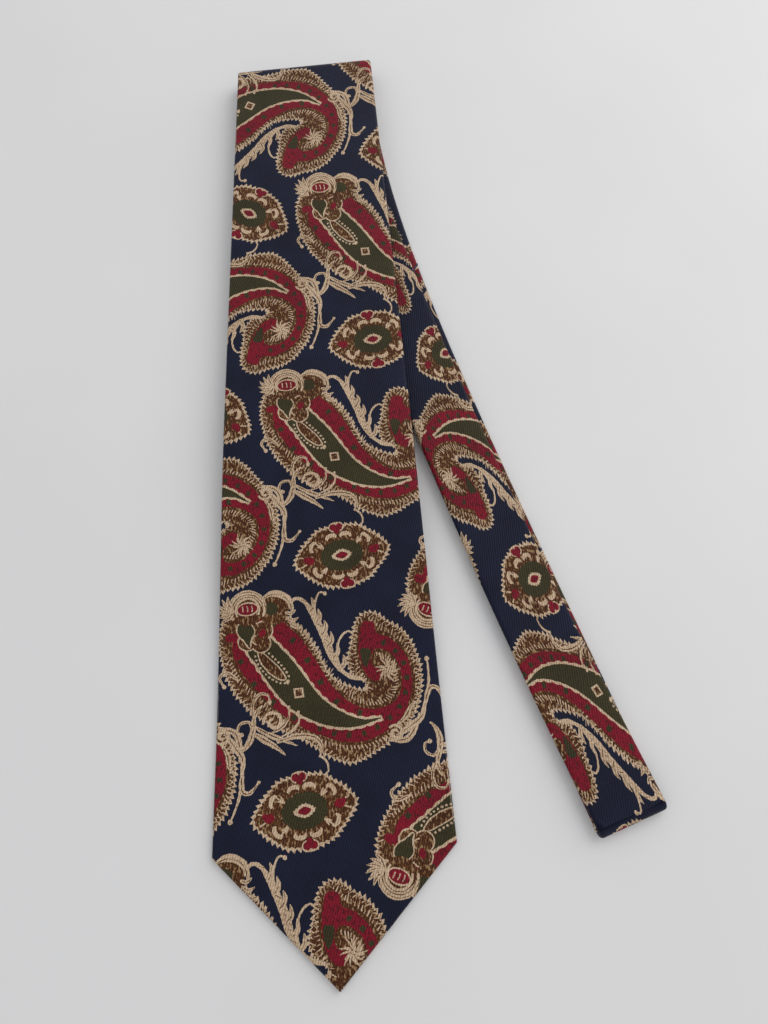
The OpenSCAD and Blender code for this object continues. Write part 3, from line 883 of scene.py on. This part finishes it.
SILKS = [
    silk("silk_navy", (20, 23, 41), (9, 11, 21), (36, 43, 72), 0.4),
    silk("silk_crimson", (114, 18, 34), (50, 15, 22), (152, 28, 50), 1.2, flecks=(58, 22, 20)),
    silk("silk_olive", (50, 46, 28), (30, 26, 14), (80, 74, 48), 0.9),
    silk("silk_brown", (68, 37, 18), (32, 18, 11), (116, 76, 44), 1.5, flecks=(160, 130, 94)),
    silk("silk_sand", (186, 160, 133), (108, 80, 54), (218, 200, 174), 1.2),
]
LINING = plain_cloth("lining_silk_navy", (14, 16, 32), (30, 34, 62), 0.35, 0.45, 0.00008, 0.02, 0.3)
WOOL = plain_cloth("wool_interlining_felt", (198, 190, 170), (232, 226, 210), 0.9, 0.85, 0.0003, 0.3)
THREAD = plain_cloth("thread_navy", (20, 22, 44), (52, 58, 92), 0.25, 0.5, 0.0001)
LABEL_BASE = plain_cloth("label_satin", (196, 192, 180), (226, 223, 214), 0.3, 0.45, 0.00006, 0.1, 0.25)
LABEL_EDGE = plain_cloth("label_border", (30, 34, 60), (60, 66, 104), 0.3, 0.5, 0.00006, 0.1, 0.25)
PRINT_LOW, PRINT_HIGH = np.array([-140.0, -30.0]), np.array([140.0, 640.0])


def opened(s):
    """The print as it shows on the blade: its rows open out towards the top fold."""
    more = 0.0007 * np.clip(s[:, 1] - 185, 0, 220) ** 2
    return np.column_stack([s[:, 0] * (1 + 0.003 * more), s[:, 1] + more])


REPEAT = whole_print(PRINT_LOW, PRINT_HIGH)
PRINT = moved(REPEAT, opened)

LEFT_HALF, RIGHT_HALF = (0.0, 0.49), (0.5, 0.99)    # columns of the baked picture


def bake_box(low, high, spots):
    """Places in the baked picture: the flat plan in one or more columns, side by side, split along y."""
    columns = len(spots)

    def bake(flat, tris):
        share = (flat[tris] - low) / (high - low)
        col = np.clip((share[:, :, 1].mean(1) * columns).astype(int), 0, columns - 1)
        v = share[:, :, 1] * columns - col[:, None]
        left = np.array([s[0] for s in spots])[col][:, None]
        right = np.array([s[1] for s in spots])[col][:, None]
        return np.stack([left + np.clip(share[:, :, 0], 0, 1) * (right - left), np.clip(v, 0, 1)], -1)

    return bake


# ---- laying the cloth of a run ----
FRONT_GRID, BACK_GRID = 5.0, 6.0        # millimetres between the points inside a face


def face_at(edges, z0, way):
    """Places on a level run's upper face, for way 1, or its lower one, for way -1."""
    def place(p):
        full = rolled(edge_distance(p, edges))
        return np.column_stack([p, z0 + EDGE_R + way * EDGE_R * full])
    return place


def add_faces(cloth, outline, flaps, lines, shapes, faces, over, grain, bake, face_up):
    """A run's printed face and its back flaps, with the print carried on round each edge.

    faces places points on the face and on the back. over(p, side) mirrors a flap's points about its edge, and
    grain gives places in the run's own frame, for the weave and the baked picture.
    """
    flat, tris, colours = cut(outline, lines, shapes, FRONT_GRID)
    cloth.lay(flat, tris, colours, faces[0], grain, lambda p, t: bake(grain(p), t), flip=not face_up)
    for side, part, is_free in flaps:
        def unfolded(p):
            return over(p, side)
        flat, tris, colours = cut(part, lines, moved(shapes, unfolded), BACK_GRID)
        cloth.lay(flat, tris, colours, faces[1], lambda p: grain(unfolded(p)),
                  lambda p, t: bake(grain(unfolded(p)), t), flip=face_up)
        cloth.turn_in(is_free, flat, tris, faces[1], SILK_T if face_up else -SILK_T)


def point_flaps(edges, top, tack_at, half, to_plan):
    """The two back flaps of a run with a point, cut along the slit and round the opening behind the point."""
    flaps = []
    for side, edge in zip((-1, 1), edges):
        slit = side * SLIT_W / 2
        ring = to_plan(np.array([(slit, top), (slit, tack_at), (side * (half - HEM_W), half + HEM_W * 0.4),
                                 (0.0, HEM_W * math.sqrt(2))]))
        flaps.append((side, np.vstack([ring, edge[::-1]]),
                      lambda p, ring=ring: edge_distance(p, [ring]) < 0.02))
    return flaps


def silk_piece(cloth, name, stands_for, body=None):
    """One printed piece, attached to its body if one is given."""
    piece = cloth.mesh(name, SILKS)
    if body:
        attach(piece, body)
    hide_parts(*stands_for)
    return piece


def bend_over(piece):
    """Set a fold's piece in place, with its transform baked into its mesh."""
    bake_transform(piece)


# ---- the blade ----
def ripple(p):
    """Slight waves that the blade keeps from wear, up to about 0.3 mm."""
    x, y = p[:, 0], p[:, 1]
    wave = 0.16 * np.sin(y / 23 + x / 41) + 0.12 * np.sin(y / 11.5 - x / 30 + 1.1)
    return (wave + 0.10 * np.sin(x / 15 + y / 60)) * ease((FOLD_Y - y) / 60)


def blade_lines(inset=0.0):
    return pointed_lines(TOP_MID, np.zeros(2), POINT_Y, blade_half, inset)


blade_edges = blade_lines()


def blade_front(p):
    inward = edge_distance(p, blade_edges)
    crown = 0.25 * ease(inward / 25)
    rise = (ripple(p) + crown) * ease((FOLD_Y - p[:, 1]) / 40)
    return np.column_stack([p, base_z(p[:, 1]) + EDGE_R + (EDGE_R + rise) * rolled(inward)])


def blade_back(p):
    full = rolled(edge_distance(p, blade_edges))
    return np.column_stack([p, base_z(p[:, 1]) + EDGE_R - EDGE_R * full])


def over_blade_edge(p, side):
    half = blade_half((FOLD_Y - p[:, 1]) / (FOLD_Y - POINT_Y))
    return np.column_stack([side * 2 * half - p[:, 0], p[:, 1]])


def make_blade():
    middle = np.array([[-200.0, BLADE_LEN / 2], [200.0, BLADE_LEN / 2]])
    lines = [line for d in EDGE_STEPS for line in blade_lines(d)] + [middle]
    bake = bake_box(np.array([-100.0, 0.0]), np.array([100.0, BLADE_LEN]), [LEFT_HALF, RIGHT_HALF])
    flaps = point_flaps(blade_edges, FOLD_Y, BLADE_TACK_AT + 1.0, POINT_Y, lambda p: p)
    cloth = Cloth()
    add_faces(cloth, closed(*blade_edges), flaps, lines, PRINT, (blade_front, blade_back), over_blade_edge,
              lambda p: p, bake, True)
    silk_piece(cloth, "blade_silk", ["blade_shell"], "front_blade")


# ---- rolls of cloth round a fold ----
def from_frame(origin, u, n):
    """Plan places to a fold's own: across it, and past it."""
    def change(s):
        return np.column_stack([(s - origin) @ u, (s - origin) @ n])
    return change


def past_roll(mid, u, n, r_out):
    """Places on the run before a fold, from places past it on the cloth."""
    def change(s):
        across, past = (s - mid) @ u, (s - mid) @ n
        return mid + across[:, None] * u - (past - math.pi * r_out)[:, None] * n
    return change


def add_roll(cloth, mid, u, n, centre_z, r_out, half, shapes, bake=None, inset=0.0):
    """The outside and inside of the cloth round a half roll at a fold, moved in by inset for the wool."""
    length = math.pi * r_out
    r_mid = r_out - EDGE_R
    thick = EDGE_R - inset
    half = half - inset
    domain = np.array([(-half, 0), (half, 0), (half, length), (-half, length)], float)
    rounds = [np.array([(-half, a), (half, a)]) for a in np.linspace(0, length, 15)[1:-1]]
    insets = [np.array([(s * (half - d), 0), (s * (half - d), length)]) for d in EDGE_STEPS for s in (-1, 1)]
    shapes = moved(shapes, from_frame(mid, u, n))
    spot = bake or bake_box(domain[0], domain[2], [(0.0, 0.99)])
    for face in (1, -1):
        def place(p):
            rho = r_mid + face * thick * rolled(half - np.abs(p[:, 0]))
            a = p[:, 1] / r_out
            xy = mid + p[:, :1] * u + (rho * np.sin(a))[:, None] * n
            return np.column_stack([xy, centre_z + rho * np.cos(a)])
        flat, tris, colours = cut(domain, rounds + insets, shapes, 3.0)
        cloth.lay(flat, tris, colours, place, lambda p: p, spot, flip=face < 0)


def make_roll_wool(name, stands_for, mid, r_out, half):
    """The interlining round a fold, rolled round inside the silk over it."""
    cloth = Cloth()
    add_roll(cloth, mid, FOLD_U, FOLD_N, TOP_R, r_out, half, [], inset=SILK_T + 0.05)
    piece = cloth.mesh(name, [WOOL])
    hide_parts(stands_for)
    bend_over(piece)


def make_top_fold():
    cloth = Cloth()
    add_roll(cloth, TOP_MID, FOLD_U, FOLD_N, TOP_R, TOP_R, FOLD_W / 2, PRINT)
    piece = silk_piece(cloth, "top_fold_silk", ["top_fold_shell"])
    bend_over(piece)
    make_roll_wool("top_fold_wool", "top_fold_interlining", TOP_MID, TOP_R, FOLD_W / 2)


# ---- the narrow runs ----
# the print on the narrow half is turned round; it is given in the strip's own frame, from the neck fold up
STRIP_FROM = np.array([9.2, 163.2])
STRIP_SPREAD = np.array([[-0.756, 0.0875], [-0.056, -1.15]])
STRIP_MEDALLION = np.array([0.4, 97.0])
STRIP_PRINT_AT = np.array([115.0, 48.0])
BIAS_WAY = turned(REAR_ANGLE - 45)      # square to the two bias seams, away from the blade


def strip_plan(s):
    """From the print to plan places on the strip's face."""
    local = (s - STRIP_FROM) @ STRIP_SPREAD.T + STRIP_MEDALLION
    return STRIP_PRINT_AT + local[:, :1] * BOW_WAY - local[:, 1:] * RUN_DOWN


STRIP_SHAPES = moved(REPEAT, strip_plan)
TAIL_SHAPES = moved(STRIP_SHAPES, lambda s: s + 31 * BOW_WAY - 12 * RUN_DOWN)


def cut_at_bias(outline, at, after):
    """The part of a run's outline after a bias seam, or before it."""
    start = at + JOIN_W * BIAS_WAY if after else at
    side = (outline - start) @ BIAS_WAY * (1 if after else -1)
    out = []
    for i, p in enumerate(outline):
        j = (i + 1) % len(outline)
        if side[i] >= 0:
            out.append(p)
        if (side[i] >= 0) != (side[j] >= 0):
            out.append(mix(p, outline[j], side[i] / (side[i] - side[j])))
    return np.array(out)


def beside(outline, edge, side):
    """The part of an outline on one side of a long cutting line, closed along that line."""
    down, across = edge @ RUN_DOWN, edge @ BOW_WAY
    gap = (outline @ BOW_WAY - np.interp(outline @ RUN_DOWN, down, across)) * side
    points, crossings = [], []
    for i, p in enumerate(outline):
        j = (i + 1) % len(outline)
        if gap[i] >= 0:
            points.append(p)
        if (gap[i] >= 0) != (gap[j] >= 0):
            crossings.append(len(points))
            points.append(mix(p, outline[j], gap[i] / (gap[i] - gap[j])))
    first, last = crossings[0], crossings[-1]
    low, high = sorted((points[first] @ RUN_DOWN, points[last] @ RUN_DOWN))
    between = edge[(down > low + 0.5) & (down < high - 0.5)]
    # the kept stretch lies between the two crossings, or past them round the outline's start
    ring = points[first:last + 1] if last > first + 1 else points[last:] + points[:first + 1]
    if ring[-1] @ RUN_DOWN > ring[0] @ RUN_DOWN:
        between = between[::-1]
    return np.vstack([ring, between])


class Run:
    """A narrow run between two folds, with its edges, its flaps and the print round its edges."""

    def __init__(self, a, bow, half, z0, face_up):
        self.a, self.bow, self.half = a, bow, half
        self.edges = list(run_lines(a, NECK_MID, bow, half))
        self.insets = [line for d in EDGE_STEPS for line in run_lines(a, NECK_MID, bow, half, d)]
        up = 1 if face_up else -1
        self.faces = [face_at(self.edges, z0, way) for way in (up, -up)]
        self.face_up = face_up

    def sides(self, p):
        """Distance across the run from its middle, its half width and the way across, at plan places."""
        down = NECK_MID - self.a
        length = np.linalg.norm(down)
        t = np.clip((p - self.a) @ (down / length) / length, 0, 1)
        u = fold_ways(t)
        return np.einsum("ij,ij->i", p - run_middle(self.a, NECK_MID, self.bow, t), u), self.half(t), u

    def over(self, p, side):
        w, h, u = self.sides(p)
        return p + u * (side * 2 * h - 2 * w)[:, None]

    def grain(self, p):
        return np.column_stack([(p - self.a) @ BOW_WAY, -(p - self.a) @ RUN_DOWN])

    def on_slit(self, p):
        return np.abs(self.sides(p)[0]) < SLIT_W / 2 + 0.15

    def add(self, cloth, shapes, seam, after, columns):
        """Its cloth before or after a bias seam."""
        outline = cut_at_bias(closed(*self.edges), seam, after)
        mid = run_middle(self.a, NECK_MID, self.bow, np.linspace(-0.02, 1.02, 90))
        flaps = []
        for side in (-1, 1):
            slit = mid + side * SLIT_W / 2 * BOW_WAY
            flaps.append((side, beside(outline, slit, side), self.on_slit))
        bake = bake_box(np.array([-80.0, -REAR_LEN]), np.array([80.0, 8.0]), columns)
        add_faces(cloth, outline, flaps, self.insets, shapes, self.faces, self.over, self.grain, bake,
                  self.face_up)


def make_rear_and_strip():
    rear = Run(TOP_MID, REAR_BOW, rear_half, 0.0, False)
    strip = Run(STRIP_TOP, STRIP_BOW, strip_half, STRIP_Z, True)

    # the blade's silk goes on round the top fold to the first bias seam
    cloth = Cloth()
    rear.add(cloth, moved(PRINT, past_roll(TOP_MID, FOLD_U, FOLD_N, TOP_R)), BLADE_JOIN, False,
             [LEFT_HALF, RIGHT_HALF])
    silk_piece(cloth, "rear_blade_silk", ["rear_shell"], "rear_half")

    # the neck piece: the rest of the rear run, the neck fold, and the strip to its seam
    cloth = Cloth()
    rear.add(cloth, moved(STRIP_SHAPES, past_roll(NECK_MID, NECK_U, NECK_N, NECK_R)), BLADE_JOIN, True,
             [LEFT_HALF])
    strip.add(cloth, STRIP_SHAPES, TAIL_JOIN, True, [RIGHT_HALF])
    bake = bake_box(np.array([-80.0, -1.0]), np.array([80.0, 400.0]), [RIGHT_HALF])
    add_roll(cloth, NECK_MID, NECK_U, NECK_N, NECK_R, NECK_R, NECK_W / 2, STRIP_SHAPES, bake)
    silk_piece(cloth, "neck_silk", ["rear_neck_shell", "neck_fold_shell", "strip_neck_shell"],
               "rear_half")

    # the tail's silk, from the second seam on
    cloth = Cloth()
    strip.add(cloth, TAIL_SHAPES, TAIL_JOIN, False, [LEFT_HALF, RIGHT_HALF])
    silk_piece(cloth, "strip_tail_silk", ["strip_tail_shell"],
               "rear_half")


def make_tail_fold():
    cloth = Cloth()
    add_roll(cloth, STRIP_TOP, FOLD_U, FOLD_N, TOP_R, TAIL_R, STRIP_W / 2, TAIL_SHAPES)
    piece = silk_piece(cloth, "tail_fold_silk", ["tail_fold_shell"])
    bend_over(piece)
    make_roll_wool("tail_fold_wool", "tail_fold_interlining", STRIP_TOP, TAIL_R, STRIP_W / 2)


# ---- the tail end, in its own frame with its point at (0, 0) ----
TAIL_U = turned(-TAIL_LEAN)


def tail_grain(p):
    return np.column_stack([(p - TAIL_POINT) @ TAIL_U, -(p - TAIL_POINT) @ TAIL_DOWN])


def tail_to_plan(p):
    return TAIL_POINT + p[:, :1] * TAIL_U - p[:, 1:] * TAIL_DOWN


def tail_lines(inset=0.0):
    return pointed_lines(STRIP_TOP, TAIL_POINT, TAIL_W / 2, tail_half, inset)


def over_tail_edge(p, side):
    g = tail_grain(p)
    half = tail_half((TAIL_LEN - g[:, 1]) / (TAIL_LEN - TAIL_W / 2))
    return p + TAIL_U * (side * 2 * half - 2 * g[:, 0])[:, None]


def make_tail():
    edges = tail_lines()
    middle = tail_to_plan(np.array([(-60, TAIL_LEN / 2), (60, TAIL_LEN / 2)]))
    lines = [line for d in EDGE_STEPS for line in tail_lines(d)] + [middle]
    bake = bake_box(np.array([-45.0, 0.0]), np.array([45.0, TAIL_LEN]), [LEFT_HALF, RIGHT_HALF])
    flaps = point_flaps(edges, TAIL_LEN, TAIL_TACK_AT + 0.8, TAIL_W / 2, tail_to_plan)
    faces = [face_at(edges, TAIL_Z, way) for way in (-1, 1)]
    cloth = Cloth()
    add_faces(cloth, closed(*edges), flaps, lines, TAIL_SHAPES, faces, over_tail_edge, tail_grain, bake,
              False)
    silk_piece(cloth, "tail_silk", ["tail_shell"], "tail_end")


# ---- lining, keeper loop and label ----
LINING_R = 0.12         # half the lining's thickness


def rectangle(wide, high):
    return np.array([(-wide, -high), (wide, -high), (wide, high), (-wide, high)]) / 2


def below(line, y):
    """A closed outline cut off level at y."""
    out = []
    for p, q in zip(line, np.roll(line, -1, 0)):
        if p[1] <= y:
            out.append(p)
        if (p[1] <= y) != (q[1] <= y):
            out.append(mix(p, q, (y - p[1]) / (q[1] - p[1])))
    return np.array(out)


def two_sided(name, materials, outline, place, shapes, grid, stands_for, body):
    """A closed thin sheet from its flat outline: place gives the points of one face, way 1 up or -1 down."""
    cloth = Cloth()
    low, high = outline.min(0), outline.max(0)
    insets = [looped(grown(outline, -d)) for d in (0.15, 0.5)]
    for way, column in ((1, LEFT_HALF), (-1, RIGHT_HALF)):
        flat, tris, colours = cut(outline, insets, shapes, grid)
        cloth.lay(flat, tris, colours, lambda p: place(p, way), lambda p: p, bake_box(low, high, [column]),
                  flip=way < 0)
    piece = cloth.mesh(name, materials)
    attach(piece, body)
    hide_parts(stands_for)


def soft_rim(p, outline, r):
    return rolled(edge_distance(p, [looped(outline)]), r)


def pucker(x, y, opening):
    """Small waves of loose lining, only in the opening between the flaps."""
    wave = 0.10 * np.sin(x / 3.1 + y / 9) + 0.09 * np.sin(y / 4.3 - x / 7) + 0.05 * np.sin(x / 1.7 - y / 3.9)
    return (wave + 0.12) * opening


def make_lining(name, stands_for, body, edges, half, tack_at, top, eased, height, to_plan):
    """The lining behind a point, as high as its bar tack and a little past: height gives its middle."""
    outline = below(closed(*edges), tack_at + TIPPING_PAST)
    corner = half - HEM_W - 1
    kite = np.array([(0, HEM_W * 1.5), (corner, half + HEM_W * 0.4), (0, top), (-corner, half + HEM_W * 0.4)])

    def place(p, way):
        loose = np.where(inside(p, kite), ease(edge_distance(p, [looped(kite)]) / eased), 0)
        middle = height(p[:, 1], pucker(p[:, 0], p[:, 1], loose))
        return np.column_stack([to_plan(p), middle + way * LINING_R * soft_rim(p, outline, LINING_R)])

    two_sided(name, [LINING], outline, place, [], 1.8, stands_for, body)


def make_linings():
    inset = SILK_T + 0.1
    make_lining("blade_lining", "blade_tipping", "front_blade", blade_lines(inset), POINT_Y, BLADE_TACK_AT,
                BLADE_TACK_AT - 4, 7, lambda y, wave: base_z(y) + SILK_T + 0.16 - wave, lambda p: p)
    tail_edges = pointed_lines(np.array([0.0, TAIL_LEN]), np.zeros(2), TAIL_W / 2, tail_half, inset)
    make_lining("tail_lining", "tail_tipping", "tail_end", tail_edges, TAIL_W / 2, TAIL_TACK_AT,
                TAIL_TACK_AT - 3, 4, lambda y, wave: TAIL_Z + RUN_T - SILK_T - 0.16 + 0.5 * wave,
                tail_to_plan)


def make_keeper():
    outline = rectangle(KEEPER_W, KEEPER_D)
    half = KEEPER_W / 2
    slope = math.atan2(base_z(KEEPER_AT + 1) - base_z(KEEPER_AT - 1), 2)

    def arch(x, end):
        return -KEEPER_RISE * (1 - np.clip(np.abs(x) / end, 0, 1) ** 4)

    def place(p, way):
        low = arch(p[:, 0], half) - KEEPER_T
        high = arch(p[:, 0], half - 3)
        z = (low + high) / 2 + way * (high - low) / 2 * soft_rim(p, outline, 0.4)
        y = p[:, 1] + 0.25 * np.sin(p[:, 0] / 9)
        return np.column_stack([p[:, 0], KEEPER_AT + y * math.cos(slope) - z * math.sin(slope),
                                base_z(KEEPER_AT) - 0.1 + y * math.sin(slope) + z * math.cos(slope)])

    shapes = moved(REPEAT, lambda s: np.column_stack([s[:, 1] - 150, s[:, 0] - 16]))
    two_sided("keeper_silk", SILKS, outline, place, shapes, 1.5, "keeper_loop", "front_blade")


def make_label():
    outline = rectangle(LABEL_W, LABEL_H)
    border = [(colour, grown(outline, -d)) for colour, d in ((1, 2.6), (0, 3.1), (1, 3.7), (0, 3.95))]

    def place(p, way):
        lift = 0.10 * np.sin(p[:, 0] / 8 + 1) * np.sin(p[:, 1] / 6)
        z = base_z(p[:, 1] + LABEL_AT) - 0.2 - np.abs(lift)
        return np.column_stack([p[:, 0], p[:, 1] + LABEL_AT, z + way * 0.14 * soft_rim(p, outline, 0.14)])

    two_sided("label_cloth", [LABEL_BASE, LABEL_EDGE], outline, place, border, 2.5, "blank_label",
              "front_blade")


# ---- CAD nodes that stay, and their finish ----
def dress_nodes():
    finish = {"interlining": WOOL, "stitch": THREAD, "stitches": THREAD, "seam": THREAD, "tack": THREAD}
    for name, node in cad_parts.items():
        word = name.split("_")[-1]
        if word in finish:
            node.data.materials.clear()
            node.data.materials.append(finish[word])


# ---- table, lights and camera, in metres ----
TABLE_W = 6.0


def make_stage():
    me = bpy.data.meshes.new("table")
    me.from_pydata([(x, y, 0) for x, y in rectangle(TABLE_W, TABLE_W)], [], [(0, 1, 2, 3)])
    table = bpy.data.objects.new("table", me)
    bpy.context.scene.collection.objects.link(table)
    m = Nodes("table_top")
    place = m.new("ShaderNodeTexCoord").outputs["Object"]
    tone = m.noise(place, 9.0, 2.0)
    m.link(m.mixed(tone, colour_of(214, 214, 215), colour_of(222, 222, 223)), m.shader.inputs["Base Color"])
    m.shader.inputs["Roughness"].default_value = 0.6
    me.materials.append(m.material)


def area_light(name, at, aim, size, power, colour):
    data = bpy.data.lights.new(name, "AREA")
    data.shape = "RECTANGLE"
    data.size, data.size_y = size
    data.energy = power
    data.color = colour
    light = bpy.data.objects.new(name, data)
    light.location = at
    light.rotation_euler = (Vector(aim) - Vector(at)).to_track_quat("-Z", "Y").to_euler()
    bpy.context.scene.collection.objects.link(light)


CAMERA_ABOVE = (19.3, 59.5)     # plan place under the camera, in millimetres
CAMERA_HIGH = 316.5
CAMERA_PITCH = 68.9             # degrees below level
CAMERA_HEADING = 3.65           # degrees to the right of the blade's length
LENS = 27.04


def make_camera_and_light():
    data = bpy.data.cameras.new("camera")
    data.sensor_fit = "AUTO"
    data.lens = LENS
    data.clip_start = 0.01
    camera = bpy.data.objects.new("camera", data)
    camera.location = (np.array([*CAMERA_ABOVE, CAMERA_HIGH]) - ORIGIN) / 1000
    camera.rotation_euler = (math.radians(90 - CAMERA_PITCH), 0, math.radians(-CAMERA_HEADING))
    bpy.context.scene.collection.objects.link(camera)
    bpy.context.scene.camera = camera
    area_light("window", (0.95, 0.7, 0.95), (0, 0.05, 0), (1.5, 1.5), 11.5, (1.0, 0.985, 0.96))
    world = bpy.data.worlds.new("room")
    world.use_nodes = True
    background = world.node_tree.nodes["Background"]
    background.inputs[0].default_value = (0.975, 0.98, 0.99, 1)
    background.inputs[1].default_value = 0.72
    bpy.context.scene.world = world
    bpy.context.scene.view_settings.view_transform = "Standard"


make_camera_and_light()
make_stage()
make_blade()
make_top_fold()
make_rear_and_strip()
make_tail_fold()
make_tail()
make_linings()
make_keeper()
make_label()
dress_nodes()
